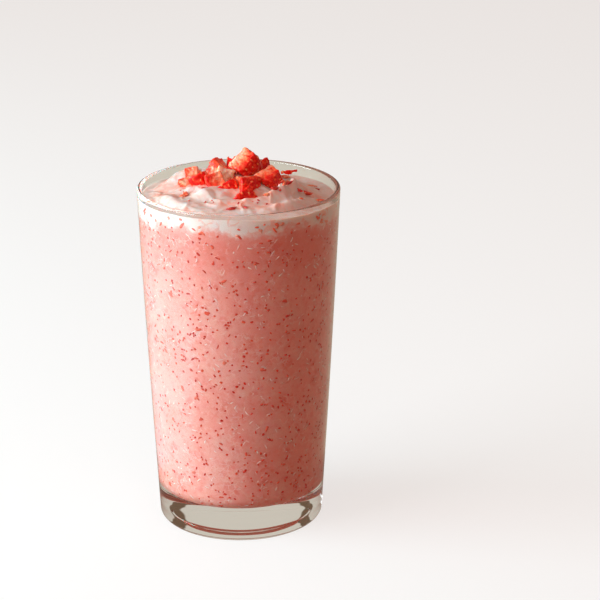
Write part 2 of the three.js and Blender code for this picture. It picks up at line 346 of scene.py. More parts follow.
def put(tree, kind, inputs=None, **settings):
    """Adds a node. An input is a number, a colour or another node's output socket."""
    made = tree.nodes.new(kind)
    for key, value in settings.items():
        setattr(made, key, value)
    for key, value in (inputs or {}).items():
        if isinstance(value, bpy.types.NodeSocket):
            tree.links.new(value, made.inputs[key])
        else:
            made.inputs[key].default_value = value
    return made


def ramp(tree, factor, stops):
    """A colour ramp over factor. Stops are (place, colour)."""
    made = put(tree, "ShaderNodeValToRGB", {"Fac": factor})
    elements = made.color_ramp.elements
    while len(elements) < len(stops):
        elements.new(1.0)
    for element, (place, colour) in zip(elements, stops):
        element.position = place
        element.color = (*colour, 1)
    return made.outputs["Color"]


def grade(tree, value, low, high, start=0.0, end=1.0, kind="SMOOTHSTEP"):
    """Maps value from low..high to start..end."""
    inputs = {"Value": value, "From Min": low, "From Max": high, "To Min": start, "To Max": end}
    return put(tree, "ShaderNodeMapRange", inputs, interpolation_type=kind).outputs["Result"]


def maths(tree, operation, a, b=0.0):
    """The result of an operation on one or two numbers."""
    return put(tree, "ShaderNodeMath", {0: a, 1: b}, operation=operation).outputs[0]


def vector_maths(tree, operation, a, b):
    """The vector that an operation makes of two vectors."""
    return put(tree, "ShaderNodeVectorMath", {0: a, 1: b}, operation=operation).outputs[0]


def blend(tree, factor, a, b):
    """A mix of two colours."""
    made = put(tree, "ShaderNodeMix", data_type="RGBA", blend_type="MIX")
    for key, value in ((0, factor), (6, a), (7, b)):
        if isinstance(value, bpy.types.NodeSocket):
            tree.links.new(value, made.inputs[key])
        else:
            made.inputs[key].default_value = value if key == 0 else (*value, 1)
    return made.outputs[2]


def object_place(tree):
    """The place on the object, in metres."""
    return put(tree, "ShaderNodeTexCoord").outputs["Object"]


def stored(tree, name):
    """A number that is stored on the vertices."""
    return put(tree, "ShaderNodeAttribute", attribute_name=name).outputs["Fac"]


def clouds(tree, size, detail=3.0, distortion=0.0):
    """A noise texture with features of about size millimetres."""
    inputs = {"Vector": object_place(tree), "Scale": 1 / (size * MM)}
    inputs.update({"Detail": detail, "Distortion": distortion})
    return put(tree, "ShaderNodeTexNoise", inputs).outputs["Fac"]


def mix_shaders(tree, factor, a, b):
    """A mix of two shaders, which is b where factor is 1."""
    return put(tree, "ShaderNodeMixShader", {0: factor, 1: a, 2: b}).outputs[0]


def finish_material(tree, shader):
    """Ends the tree in its output."""
    put(tree, "ShaderNodeOutputMaterial", {"Surface": shader})


# Glass

def glass_profile():
    """The glass's section, from the middle of its underside round the wall to its inner floor."""
    top = HEIGHT - WALL / 2
    start = FLOOR + INNER_FILLET
    heel = (FOOT_RADIUS - HEEL_RADIUS, HEEL_RADIUS)
    rim = (float(outer_radius(top)) - WALL / 2, top)
    corner = (float(inner_radius(start)) - INNER_FILLET, start)
    up = np.linspace(HEEL_RADIUS, top, WALL_STEPS)[1:-1]
    down = np.linspace(top, start, WALL_STEPS)[1:-1]
    points = [(0, PUNT_DEPTH)]
    points += [(r, PUNT_DEPTH) for r in PUNT_RADII]
    for share in np.linspace(0, 1, PUNT_STEPS):
        z = PUNT_DEPTH * (1 + math.cos(math.pi * share)) / 2
        points.append((PUNT_RADIUS - PUNT_SLOPE * (1 - share), z))
    points += [(FOOT_FLAT_RADIUS, 0)]
    points += arc(heel, HEEL_RADIUS, -90, 0, CURVE_STEPS)
    points += [(float(outer_radius(z)), z) for z in up]
    points += arc(rim, WALL / 2, 0, 180, CURVE_STEPS)
    points += [(float(inner_radius(z)), z) for z in down]
    points += arc(corner, INNER_FILLET, 0, -90, CURVE_STEPS)
    points += [(r, FLOOR) for r in FLOOR_RADII]
    points += [(0, FLOOR)]
    return points


def glass_material():
    """Clear glass that lets lamps light what stands in it."""
    material, tree = new_tree("clear_glass")
    wobble = clouds(tree, 14, 1.0)
    bump = put(tree, "ShaderNodeBump", {"Strength": 0.12, "Distance": 0.0006, "Height": wobble})
    clear = put(tree, "ShaderNodeBsdfPrincipled", {
        "Base Color": (0.985, 0.985, 0.975, 1), "Roughness": 0.0, "IOR": 1.5,
        "Transmission Weight": 1.0, "Normal": bump.outputs["Normal"],
    }).outputs[0]
    through = put(tree, "ShaderNodeBsdfTransparent", {"Color": (0.95, 0.95, 0.94, 1)}).outputs[0]
    path = put(tree, "ShaderNodeLightPath").outputs
    for_bounce = mix_shaders(tree, path["Is Diffuse Ray"], clear, through)
    finish_material(tree, mix_shaders(tree, path["Is Shadow Ray"], for_bounce, through))
    return material


def make_glass():
    """The whole glass, turned round its axis."""
    verts, faces = turned_mesh(glass_profile(), GLASS_SIDES)
    add_piece("tumbler", verts, faces, glass_material(), ["glass"])


# Drink

DRINK_SIDES = 192
# Rings of the drink: on its floor from the innermost radius, on its rounded corner, up its wall,
# and over its top
DRINK_INNERMOST = 4
DRINK_FLOOR_RINGS = 6
DRINK_CORNER_STEPS = 12
DRINK_WALL_RINGS = 90
DRINK_TOP_RINGS = 12
# Within this radius the mixing level is taken as it is here
MIX_LEAST_RADIUS = 30

PINK = (0.875, 0.37, 0.31)
RED_PULP = (0.80, 0.165, 0.125)
PALE_PULP = (0.94, 0.61, 0.55)
STRAND = (0.95, 0.66, 0.60)
CREAM_WHITE = (0.84, 0.75, 0.70)
CREAM_STAIN = (0.88, 0.42, 0.32)

# Clouds in the drink: size, detail and distortion, then the shades that they give, each as the
# noise where it starts and where it is full, its strength and its colour
DRINK_CLOUDS = [
    ((5, 3.0, 0.9), [(0.52, 0.72, 0.62, RED_PULP)]),
    ((14, 2.0, 0.5), [(0.58, 0.38, 0.22, PALE_PULP)]),
    ((1.4, 3.0, 0.8), [(0.52, 0.75, 0.40, RED_PULP), (0.46, 0.25, 0.42, PALE_PULP)]),
]
# The drink gets redder towards the cream: heights over the mixing level, and the strength there
RED_TOP = (-34, -3)
RED_TOP_STRENGTH = 0.38
STRAND_STRENGTH = 0.55
# Juice stains in the cream behind the glass: their clouds, the noise at their edge, and strength
STAIN_CLOUDS = (3.4, 2.0, 0.9)
STAIN_EDGE = (0.50, 0.64)
STAIN_STRENGTH = 0.62
# What tears the edge between drink and cream: clouds, and how far they move it up or down
TORN_EDGE = [((5, 2.0, 0.6), 2.6), ((1.8, 2.0, 0.6), 1.3)]
TORN_RANGE = (0.25, 0.75)
MIX_WIDTH = (-2.4, 2.8)
# Light wanders under the surface only this far from where drink and cream meet
SCATTER_RANGE = (0.8, 4.5)

# Strands of pulp: the width of their meshes, the size and reach of what bends them, their edge as
# a share of a mesh, and the patches that they lie in
STRAND_MESH = 2.6
STRAND_CURL = 2.2
STRAND_BEND = 3.5
STRAND_EDGE = (0.08, 0.02)
STRAND_CLOUDS = (5, 2.0)
STRAND_PATCHES = (0.50, 0.66)


def milk_colour(tree):
    """The colour of drink and cream together, which changes over softly where they mix."""
    above = stored(tree, "above_mix")
    drink = PINK
    for texture, shades in DRINK_CLOUDS:
        cloud = clouds(tree, *texture)
        for low, high, strength, colour in shades:
            drink = blend(tree, grade(tree, cloud, low, high, 0.0, strength), drink, colour)
    redness = grade(tree, above, *RED_TOP, 0.0, RED_TOP_STRENGTH)
    drink = blend(tree, redness, drink, RED_PULP)
    drink = blend(tree, maths(tree, "MULTIPLY", strands(tree), STRAND_STRENGTH), drink, STRAND)
    stain = grade(tree, clouds(tree, *STAIN_CLOUDS), *STAIN_EDGE)
    stain = maths(tree, "MULTIPLY", stain, STAIN_STRENGTH)
    cream = blend(tree, stain, CREAM_WHITE, CREAM_STAIN)
    level = above
    for texture, reach in TORN_EDGE:
        shift = grade(tree, clouds(tree, *texture), *TORN_RANGE, -reach, reach, "LINEAR")
        level = maths(tree, "ADD", level, shift)
    return blend(tree, grade(tree, level, *MIX_WIDTH), drink, cream)


def strands(tree):
    """Curly thin strands of pulp in patches, from 0 to 1."""
    place = object_place(tree)
    inputs = {"Vector": place, "Scale": 1 / (STRAND_CURL * MM), "Detail": 2.0}
    curl = put(tree, "ShaderNodeTexNoise", inputs).outputs["Color"]
    shift = vector_maths(tree, "MULTIPLY", curl, (STRAND_BEND * MM,) * 3)
    bent = vector_maths(tree, "ADD", place, shift)
    inputs = {"Vector": bent, "Scale": 1 / (STRAND_MESH * MM)}
    cells = put(tree, "ShaderNodeTexVoronoi", inputs, feature="DISTANCE_TO_EDGE")
    thin = grade(tree, cells.outputs["Distance"], *STRAND_EDGE)
    patches = grade(tree, clouds(tree, *STRAND_CLOUDS), *STRAND_PATCHES)
    return maths(tree, "MULTIPLY", thin, patches)


def scatter_weight(tree):
    """Share of light that wanders under the surface, none of it where drink and cream meet."""
    return grade(tree, maths(tree, "ABSOLUTE", stored(tree, "above_mix")), *SCATTER_RANGE)


def drink_material():
    """Thick pink drink with redder and paler pulp."""
    material, tree = new_tree("strawberry_drink")
    shader = put(tree, "ShaderNodeBsdfPrincipled", {
        "Base Color": milk_colour(tree), "Roughness": 0.5, "Specular IOR Level": 0.1,
        "Subsurface Weight": scatter_weight(tree),
        "Subsurface Radius": (1.0, 0.35, 0.25), "Subsurface Scale": 3 * MM,
    })
    finish_material(tree, shader.outputs[0])
    return material


def add_mix_distance(mesh, verts):
    """Stores how far each vertex lies above the level where drink and cream mix."""
    flat = np.hypot(verts[:, 0], verts[:, 1])
    turn = np.arctan2(verts[:, 1], verts[:, 0])
    level = mix_height(np.maximum(flat, MIX_LEAST_RADIUS), turn)
    add_values(mesh, "above_mix", verts[:, 2] - level)


def make_drink():
    """The drink up to the wavy level where the cream starts, pressed just into the wall."""
    angles = even_angles(DRINK_SIDES)
    start = FLOOR + INNER_FILLET
    bottom = FLOOR - INTO_WALL
    corner = float(inner_radius(start)) - INNER_FILLET
    base = [(r, bottom) for r in np.linspace(DRINK_INNERMOST, corner, DRINK_FLOOR_RINGS)]
    base += arc((corner, start), INNER_FILLET + INTO_WALL, -90, 0, DRINK_CORNER_STEPS)[1:]
    rows = [ring(r, angles, z) for r, z in base]
    wall_top = mix_height(inner_radius(HEIGHT), angles)
    for share in np.linspace(0, 1, DRINK_WALL_RINGS)[1:]:
        z = start + (wall_top - start) * share
        rows.append(ring(inner_radius(z) + INTO_WALL, angles, z))
    for share in np.linspace(1, 0, DRINK_TOP_RINGS)[1:-1]:
        r = (inner_radius(wall_top) + INTO_WALL) * share
        rows.append(ring(r, angles, mix_height(r, angles)))
    middle = float(mix_height(np.array(0.0), np.array(0.0)))
    verts, faces = ring_mesh(np.array(rows), (0, 0, bottom), (0, 0, middle))
    piece = add_piece("strawberry_drink", verts, faces, drink_material(), ["drink"])
    add_mix_distance(piece.data, verts)


# What floats in the drink or the cream and shows against the glass: name, count, half length,
# half width, half depth, steepest turn from level, bend, and how far its middle lies behind the
# face of the drink or the cream
FLECKS = [
    ("drink_seeds", 1550, (0.30, 0.70), (0.28, 0.54), 0.27, 90, 0.0, 0.05),
    ("drink_pulp", 260, (0.55, 1.1), (0.26, 0.5), 0.27, 90, 0.5, 0.06),
    ("drink_shreds", 70, (0.9, 1.7), (0.5, 1.0), 0.32, 90, 0.4, 0.12),
    # Pale froth streaks, partly real froth and partly painted glints: pale and bright to stand in
    # for highlights on bubbles
    ("drink_froth_and_glints", 850, (0.40, 1.3), (0.13, 0.26), 0.17, 80, 0.9, 0.02),
    ("cream_crumbs", 80, (0.5, 1.6), (0.3, 0.7), 0.26, 60, 0.5, 0.05),
]
FLECK_COLOURS = {
    "drink_seeds": ((0.68, 0.035, 0.025), (0.88, 0.14, 0.075)),
    "drink_pulp": ((0.66, 0.05, 0.035), (0.86, 0.14, 0.08)),
    "drink_shreds": ((0.80, 0.10, 0.06), (0.86, 0.20, 0.13)),
    # The froth's pale colours are partly painted glints
    "drink_froth_and_glints": ((0.94, 0.55, 0.49), (0.98, 0.82, 0.77)),
    "cream_crumbs": ((0.88, 0.12, 0.06), (0.92, 0.40, 0.28)),
}
FLECK_DRAW = 7
# The drink's flecks end and the cream's start this far below the mixing level. All stay below the
# cream's edge and above the glass's floor.
MIX_MARGIN = 0.5
EDGE_MARGIN = 1.2
FLOOR_MARGIN = 1.0


def drink_radius(z):
    """Radius of the drink's face behind the glass."""
    start = FLOOR + INNER_FILLET
    drop = np.clip(start - z, 0, INNER_FILLET)
    corner = inner_radius(max(z, start)) - INNER_FILLET
    return corner + np.sqrt(INNER_FILLET**2 - drop**2) + INTO_WALL


def fleck_material(name, dark, light):
    """Small bits between two colours, each a little mottled."""
    material, tree = new_tree(name)
    mottle = grade(tree, clouds(tree, 0.5, 2.0), 0.3, 0.7, -0.2, 0.2)
    colour = blend(tree, maths(tree, "ADD", stored(tree, "tone"), mottle), dark, light)
    shader = put(tree, "ShaderNodeBsdfPrincipled", {
        "Base Color": colour, "Roughness": 0.5, "Specular IOR Level": 0.1,
        "Subsurface Weight": 0.3, "Subsurface Radius": (1.0, 0.3, 0.2),
        "Subsurface Scale": 0.4 * MM,
    })
    finish_material(tree, shader.outputs[0])
    return material


def make_flecks():
    """Seeds, pulp, shreds, froth with painted glints, and crumbs that lie against the glass, each
    kind as one piece.
    """
    draw = random.Random(FLECK_DRAW)
    for name, count, lengths, widths, depth, steep, bend, behind in FLECKS:
        blobs = []
        in_cream = name.startswith("cream")
        for _ in range(count):
            angle = draw.uniform(0, 2 * math.pi)
            seam = float(mix_height(inner_radius(HEIGHT), angle)) - MIX_MARGIN
            edge = HEIGHT + float(cream_edge(angle)) - EDGE_MARGIN
            low, high = (seam, edge) if in_cream else (FLOOR + FLOOR_MARGIN, seam)
            z = draw.uniform(low, high)
            r = float(drink_radius(z)) - behind
            length, width = draw.uniform(*lengths), draw.uniform(*widths)
            turn = math.radians(draw.uniform(-steep, steep))
            slope = max(0.0, (FLOOR + INNER_FILLET - z) / INNER_FILLET)
            flat = 1 - slope
            out = Vector((math.cos(angle) * flat, math.sin(angle) * flat, -slope)).normalized()
            side = Vector((-math.sin(angle), math.cos(angle), 0))
            up = out.cross(side)
            along = side * math.cos(turn) + up * math.sin(turn)
            across = out.cross(along)
            axes = [along * length, across * width, out * depth]
            place = (r * math.cos(angle), r * math.sin(angle), z)
            blobs.append((place, axes, draw.uniform(-bend, bend), draw.random()))
        material = fleck_material(name, *FLECK_COLOURS[name])
        add_blobs(name, blobs, material)


# Cream

CREAM_SIDES = 360
# Rings of the cream: on its underside from the innermost share of the radius, up its edge, and
# over its top
CREAM_INNERMOST = 0.1
CREAM_UNDER_RINGS = 8
CREAM_EDGE_RINGS = 10
CREAM_TOP_RINGS = 151
# Small peaks and dips of the cream: middle, width and depth, and rise
CREAM_PEAKS = [
    ((17.3, -17.2, 1.9, 1.6), 1.5), ((22.2, -12.0, 2.0, 2.0), 1.7), ((14.0, -19.6, 1.8, 1.3), 0.9),
    ((26.5, -6.5, 2.4, 2.6), 0.9), ((-12.5, -17.5, 3.2, 1.8), 0.8), ((-19.0, -9.5, 2.4, 1.8), 0.8),
    ((19.6, 24.0, 5.5, 4.5), -2.2), ((-6.0, -24.0, 3.5, 1.6), 0.7),
]
# Where juice has run into the cream: middle, width and depth, and strength
JUICE_SPOTS = [
    ((-31, 3, 5, 10), 0.75), ((-29, -11, 6, 5), 0.6), ((2, -28, 9, 2.4), 0.7),
    ((-3, -25.5, 4, 1.4), 0.6), ((27, 12, 8, 9), 0.18), ((24, -4, 6, 5), 0.4),
    ((31, -8, 5, 5), 0.5), ((10, -20, 6, 3), 0.7), ((18, -12, 4, 4), 0.5),
    ((-12, -24, 6, 3), 0.35), ((-22, 14, 6, 4), 0.4), ((16, -26, 9, 2.5), 0.4),
]
# Juice round each strawberry piece: its strength and its radius
PIECE_JUICE = 0.75
PIECE_JUICE_RADIUS = 4.6

# Fine relief of the cream: how much height counts in its noise, the size and reach of what bends
# its folds, the folds' size, width, sharpness, scale and rise, the size and rise of its ripples,
# and how far it is all let down
RELIEF_HEIGHT_SHARE = 0.7
BEND_SIZE = 9
BEND_REACH = 4.0
CREST_SIZE = 8.5
CREST_WIDTH = 0.5
CREST_POWER = 1.5
CREST_SCALE = 1.8
CREST_RISE = 0.95
RIPPLE_SIZE = 2.8
RIPPLE_RISE = 0.16
DETAIL_DROP = 0.3

CREAM_WASH = (0.93, 0.70, 0.62)
# Painted shade: the open top of the cream, away from the glass, is mixed by this share towards this
# darker colour
PAINTED_TOP_SHADE = (0.68, 0.50, 0.45)
PAINTED_TOP_SHADE_SHARE = 0.5
JUICE = (0.86, 0.40, 0.31)


def cream_detail(x, y, height):
    """Fine folds and ripples of the cream, in millimetres, on top of its main form."""
    points = np.stack([x, y, height * RELIEF_HEIGHT_SHARE], 1)
    bend = [rough(points, BEND_SIZE, 1), rough(points, BEND_SIZE, 2), np.zeros(len(x))]
    folded = points + BEND_REACH * np.stack(bend, 1)
    ridges = CREST_WIDTH - np.abs(rough(folded, CREST_SIZE, 3))
    crests = np.maximum(ridges, 0) ** CREST_POWER * CREST_SCALE
    return CREST_RISE * crests + RIPPLE_RISE * rough(folded, RIPPLE_SIZE, 4) - DETAIL_DROP


def cream_surface(x, y):
    """Height of the cream's detailed surface over points in arrays."""
    x, y = np.atleast_1d(x).astype(float), np.atleast_1d(y).astype(float)
    r, angle = np.hypot(x, y), np.arctan2(y, x)
    z = cream_top(r, angle)
    detail = cream_detail(x, y, z)
    for spot, rise in CREAM_PEAKS:
        detail = detail + rise * hump(x, y, spot)
    return z + detail * (1 - smoothstep(r, *DETAIL_FADE))


def juice_level(x, y):
    """How much strawberry juice has run into the cream, from 0 to 1."""
    level = np.zeros(len(x))
    for spot, strength in JUICE_SPOTS:
        level += strength * hump(x, y, spot)
    for _, _, _, _, at in PIECES:
        away = np.hypot(x - at[0], y - at[1]) / PIECE_JUICE_RADIUS
        level += PIECE_JUICE * np.exp(-away ** 4)
    return np.clip(level, 0, 1)


def cream_material():
    """Soft whipped cream, washed with pink and with streaks of juice, and with painted shade that
    darkens its open top.
    """
    material, tree = new_tree("whipped_cream")
    wash = grade(tree, clouds(tree, 12, 3.0, 1.6), 0.45, 0.68, 0.0, 0.55)
    streaks = grade(tree, clouds(tree, 7, 4.0, 2.4), 0.32, 0.62, 0.25, 1.3)
    juice = maths(tree, "MULTIPLY", stored(tree, "juice"), streaks)
    # Painted shade: darkens the open top of the cream
    painted_top_shade = maths(tree, "MULTIPLY", stored(tree, "on_top"), PAINTED_TOP_SHADE_SHARE)
    colour = blend(tree, wash, milk_colour(tree), CREAM_WASH)
    colour = blend(tree, painted_top_shade, colour, PAINTED_TOP_SHADE)
    colour = blend(tree, grade(tree, juice, 0.05, 0.75, 0.0, 0.85), colour, JUICE)
    ripple = clouds(tree, 1.1, 3.0, 0.4)
    bump = put(tree, "ShaderNodeBump", {"Strength": 0.25, "Distance": 0.0002, "Height": ripple})
    shader = put(tree, "ShaderNodeBsdfPrincipled", {
        "Base Color": colour, "Roughness": 0.38, "Specular IOR Level": 0.45,
        "Subsurface Weight": scatter_weight(tree),
        "Subsurface Radius": (1.0, 0.6, 0.5), "Subsurface Scale": 2 * MM,
        "Normal": bump.outputs["Normal"],
    })
    finish_material(tree, shader.outputs[0])
    return material


def make_cream():
    """The cream from where the drink ends to its folded top, pressed just into the wall."""
    angles = even_angles(CREAM_SIDES)
    low = mix_height(inner_radius(HEIGHT), angles)
    high = HEIGHT + cream_edge(angles)
    rows = []
    for share in np.linspace(CREAM_INNERMOST, 1, CREAM_UNDER_RINGS):
        r = (inner_radius(low) + INTO_WALL) * share
        rows.append(ring(r, angles, mix_height(r, angles)))
    for share in np.linspace(0, 1, CREAM_EDGE_RINGS)[1:]:
        z = low + (high - low) * share
        rows.append(ring(inner_radius(z) + INTO_WALL, angles, z))
    covered = len(rows) * CREAM_SIDES
    for share in np.linspace(1, 0, CREAM_TOP_RINGS)[1:-1]:
        r = (inner_radius(high) + INTO_WALL) * share
        x, y = r * np.cos(angles), r * np.sin(angles)
        rows.append(np.stack([x, y, cream_surface(x, y)], 1))
    rows = np.array(rows)
    verts, faces = ring_mesh(rows, (0, 0, HEIGHT + MIX_LINE), (0, 0, rows[-1][:, 2].mean()))
    piece = add_piece("whipped_cream", verts, faces, cream_material(), ["cream"])
    add_mix_distance(piece.data, verts)
    on_top = np.arange(len(verts)) >= covered
    add_values(piece.data, "on_top", on_top)
    add_values(piece.data, "juice", juice_level(verts[:, 0], verts[:, 1]) * on_top)


# Strawberry pieces

FLESH_VOXEL = 0.26
FLESH_SMOOTHING = 5
# Unevenness of the flesh: height, size and first seed of its waves, and how far it all swells
FLESH_WAVES = [(0.42, 3.2, 20), (0.22, 1.1, 50)]
FLESH_SWELL = 0.05
# Colours from the core, over the flesh, to the skin
FLESH_COLOURS = [
    (0.12, (0.97, 0.62, 0.47)), (0.38, (0.97, 0.43, 0.28)), (0.60, (0.95, 0.24, 0.12)),
    (0.80, (0.93, 0.09, 0.035)), (0.92, (0.86, 0.022, 0.009)), (1.0, (0.74, 0.008, 0.005)),
]
# The pale strands that run from the core to the skin: how many lie round it and along it
STRANDS_ROUND = 3.2
STRANDS_ALONG = 0.22
STRANDS_SCALE = 2.2


def berry_frame(low, high, turn, at):
    """The place and turn of a piece, and the middle of its block in the whole berry."""
    place = Matrix.Translation((at[0], at[1], HEIGHT + at[2]))
    place = place @ Euler([math.radians(t) for t in turn], "XYZ").to_matrix().to_4x4()
    middle = Vector([(a + b) / 2 for a, b in zip(low, high)])
    return place, middle


def strawberry_material():
    """Wet cut strawberry: red skin, orange-red flesh with pale strands, and a pale core."""
    material, tree = new_tree("strawberry")
    berry = put(tree, "ShaderNodeAttribute", attribute_name="berry").outputs["Vector"]
    apart = put(tree, "ShaderNodeSeparateXYZ", {0: berry}).outputs
    around = maths(tree, "ARCTAN2", apart["Y"], apart["X"])
    around = maths(tree, "MULTIPLY", around, STRANDS_ROUND)
    along = maths(tree, "MULTIPLY", apart["Z"], STRANDS_ALONG)
    spoke = put(tree, "ShaderNodeCombineXYZ", {0: around, 1: along}).outputs[0]
    inputs = {"Vector": spoke, "Scale": STRANDS_SCALE, "Detail": 3.0}
    strand = put(tree, "ShaderNodeTexNoise", inputs).outputs["Fac"]
    mottle = clouds(tree, 1.3, 3.0, 0.5)
    paler = grade(tree, strand, 0.35, 0.65, 0.12, -0.16, "LINEAR")
    uneven = maths(tree, "ADD", paler, grade(tree, mottle, 0.3, 0.7, -0.1, 0.1))
    shaded = maths(tree, "ADD", stored(tree, "ripe"), uneven)
    bump = put(tree, "ShaderNodeBump", {"Strength": 0.5, "Distance": 0.0003, "Height": mottle})
    shader = put(tree, "ShaderNodeBsdfPrincipled", {
        "Base Color": ramp(tree, shaded, FLESH_COLOURS),
        "Roughness": 0.3, "Specular IOR Level": 0.2,
        "Subsurface Weight": 0.5, "Subsurface Radius": (1.0, 0.2, 0.1),
        "Subsurface Scale": 1.0 * MM,
        "Coat Weight": 0.14, "Coat Roughness": 0.1, "Normal": bump.outputs["Normal"],
    })
    finish_material(tree, shader.outputs[0])
    return material


def remeshed(mesh, voxel, smoothing):
    """A closed copy of a mesh with even faces and softened edges."""
    copy = bpy.data.objects.new("remeshing", mesh.copy())
    bpy.context.scene.collection.objects.link(copy)
    even = copy.modifiers.new("even", "REMESH")
    even.mode = "VOXEL"
    even.voxel_size = voxel * MM
    soft = copy.modifiers.new("soft", "SMOOTH")
    soft.iterations = smoothing
    bpy.context.view_layer.update()
    finished = copy.evaluated_get(bpy.context.evaluated_depsgraph_get())
    result = bpy.data.meshes.new_from_object(finished)
    bpy.data.objects.remove(copy)
    return result


def points_of(mesh):
    """A mesh's vertices in millimetres."""
    flat = np.empty(len(mesh.vertices) * 3)
    mesh.vertices.foreach_get("co", flat)
    return flat.reshape(-1, 3) / MM


def normals_of(mesh):
    """A mesh's vertex normals."""
    flat = np.empty(len(mesh.vertices) * 3)
    mesh.vertex_normals.foreach_get("vector", flat)
    return flat.reshape(-1, 3)


def make_strawberry(entry, number, material):
    """A cut block of strawberry, from its solid, with softened edges and an uneven wet surface."""
    name, low, high, turn, at = entry
    mesh = remeshed(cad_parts[name].data, FLESH_VOXEL, FLESH_SMOOTHING)
    points, normals = points_of(mesh), normals_of(mesh)
    swell = sum(height * rough(points, size, number + seed) for height, size, seed in FLESH_WAVES)
    points = points + normals * (swell + FLESH_SWELL)[:, None]
    mesh.vertices.foreach_set("co", (points * MM).ravel())
    mesh.update()
    place, middle = berry_frame(low, high, turn, at)
    back = place.inverted()
    inside = np.array([tuple(back @ Vector(p) + middle) for p in points])
    add_values(mesh, "berry", inside)
    add_values(mesh, "ripe", np.hypot(inside[:, 0], inside[:, 1]) / berry_radius(inside[:, 2]))
    return add_object(name + "_flesh", mesh, material, [name])


# Seeds of the berry: how many, their half sizes, the turn from one to the next, the share of the
# berry's length where they start and that they cover, and the share of its radius they lie at
BERRY_SEEDS = 230
SEED_SIZE = (0.62, 0.38, 0.26)
GOLDEN_TURN = math.radians(137.508)
SEEDS_START = 0.03
SEEDS_SPAN = 0.94
SEEDS_RADIUS_SHARE = 0.985
# How far a seed may lie from the skin, and how far it stands out
SEED_REACH = 0.6
SEED_LIFT = 0.02
SEED_DRAW = 11
SEED_COLOURS = ((0.86, 0.13, 0.05), (0.93, 0.34, 0.15))


def make_berry_seeds(pieces):
    """The seeds in the skin of the pieces, laid on the whole berry in its spiral."""
    blobs = []
    draw = random.Random(SEED_DRAW)
    for entry, piece in zip(PIECES, pieces):
        _, low, high, turn, at = entry
        place, middle = berry_frame(low, high, turn, at)
        points = [tuple(v.co / MM) for v in piece.data.vertices]
        tree = BVHTree.FromPolygons(points, [tuple(p.vertices) for p in piece.data.polygons])
        for k in range(BERRY_SEEDS):
            z = BERRY_LENGTH * (SEEDS_START + SEEDS_SPAN * k / BERRY_SEEDS)
            r = float(berry_radius(z)) * SEEDS_RADIUS_SHARE
            spot = Vector((r * math.cos(k * GOLDEN_TURN), r * math.sin(k * GOLDEN_TURN), z))
            if not all(a <= c <= b for a, c, b in zip(low, spot, high)):
                continue
            world = place @ (spot - middle)
            near, normal, _, distance = tree.find_nearest(world)
            if near is None or distance > SEED_REACH:
                continue
            length = place.to_3x3() @ Vector((0, 0, 1))
            along = length.cross(normal).cross(normal).normalized()
            across = normal.cross(along)
            axes = [along * SEED_SIZE[0], across * SEED_SIZE[1], normal * SEED_SIZE[2]]
            blobs.append((near + normal * SEED_LIFT, axes, 0.0, draw.random()))
    add_blobs("strawberry_seeds", blobs, fleck_material("seed", *SEED_COLOURS),
              subdivisions=2, wobble=0.08)


# Shreds on the cream: place, half sizes, turn in degrees, bend, and lift over the surface
SHREDS = [
    ((-20, -14), (2.1, 1.0, 0.8), 98, 0.3, 0.3), ((-21.2, -15.6), (1.2, 0.7, 0.5), 10, 0.0, 0.1),
    ((17.5, 0), (2.7, 0.8, 0.7), -15, 0.3, 0.2), ((21.5, -1.5), (1.6, 0.7, 0.6), 10, -0.3, 0.2),
    ((17.6, -16.4), (1.7, 0.9, 0.7), 100, 0.2, 0.2), ((19.5, -13.6), (2.6, 0.5, 0.5), 24, 0.8, 0.4),
    ((23.6, -13.8), (1.9, 0.6, 0.6), -52, 0.3, 0.3),
    ((26.2, -10.2), (2.9, 0.9, 0.7), -42, 0.3, 0.3),
    ((14.5, -19), (1.6, 0.8, 0.7), 30, 0.2, 0.2), ((11.4, -21.6), (1.2, 0.6, 0.6), 10, 0.0, 0.2),
    ((-2, -29), (1.9, 0.7, 0.5), 20, 0.4, 0.1), ((3.2, -28.2), (1.5, 0.5, 0.4), -62, 0.2, 0.1),
    ((-12.5, -14.5), (1.5, 0.6, 0.5), 5, 0.0, 0.1), ((28.5, 12), (2.0, 0.4, 0.4), 8, 0.2, 0.1),
    ((30.5, 6), (1.6, 0.4, 0.4), 20, 0.2, 0.1), ((31, -12), (2.6, 0.5, 0.4), -28, 0.3, 0.1),
    ((24.5, -17.5), (0.9, 0.7, 0.5), 0, 0.0, 0.1),
]
# Patches of crumbs: middle, width and depth, count, and the least and largest half size
CRUMB_PATCHES = [
    ((13.5, -17.5), (3.6, 1.6), 16, (0.35, 0.75)), ((-13, -22), (6.5, 2.6), 7, (0.2, 0.42)),
    ((-22, -9), (4, 4), 5, (0.2, 0.4)), ((6, -25), (5, 1.5), 5, (0.25, 0.5)),
    ((16, -3), (4, 3), 12, (0.3, 0.7)), ((-2, -8), (9, 7), 26, (0.4, 0.9)),
]
SHRED_DRAW = 5
SHRED_TILT = 0.15
CRUMB_SPREAD = 0.5
CRUMB_TILT = 0.4
# A crumb's lift, length, width and depth, as shares of its size
CRUMB_LIFT = 0.25
CRUMB_LENGTH = (0.9, 1.5)
CRUMB_WIDTH = 0.8
CRUMB_DEPTH = 0.7
SHRED_COLOURS = [
    (0.0, (0.50, 0.012, 0.008)), (0.45, (0.68, 0.03, 0.015)), (0.75, (0.82, 0.12, 0.05)),
    (1.0, (0.90, 0.36, 0.20)),
]


